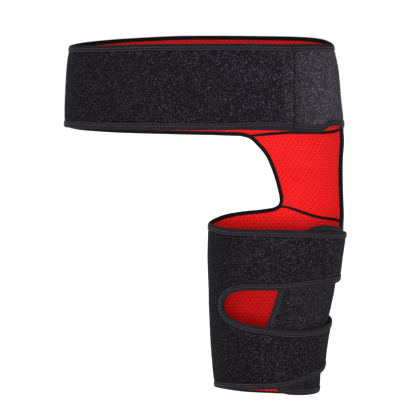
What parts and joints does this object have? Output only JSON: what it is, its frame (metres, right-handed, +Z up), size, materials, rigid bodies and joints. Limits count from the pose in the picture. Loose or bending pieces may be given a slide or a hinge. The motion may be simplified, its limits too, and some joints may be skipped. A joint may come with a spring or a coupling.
{
  "type": "hip brace",
  "caption": "Wrap-around brace for the waist, hip and thigh: a wide belt, a rear hip panel and a tapered thigh wrap that closes with straps, black outside and red inside.",
  "frame": {"origin": "middle of the waist inside the belt, level with the middle of the belt's front", "axes": "+Z up along the wearer, -Y the front with the strap ends, +X the side of the braced leg"},
  "size_m": [0.3734, 0.2141, 0.4835],
  "materials": {
    "plush": "matte black loop plush on foam",
    "lining": "smooth red, perforated",
    "binding": "matte ribbed tape",
    "thread": "matte stitching",
    "hook": "matte hook tape"
  },
  "bodies": {
    "root": {"belt_shell": "plush", "belt_lining": "lining", "hip_panel_shell": "plush", "hip_panel_lining": "lining", "thigh_wrap_shell": "plush", "thigh_wrap_lining": "lining", "belt_top_binding": "binding", "inner_edge_binding": "binding", "outer_edge_binding": "binding", "strap_gap_binding": "binding", "wrap_bottom_binding": "binding", "belt_seam": "thread", "thigh_seam": "thread", "belt_hook_patch": "hook", "upper_strap_hook_patch": "hook", "lower_strap_hook_patch": "hook"}
  },
  "joints": []
}
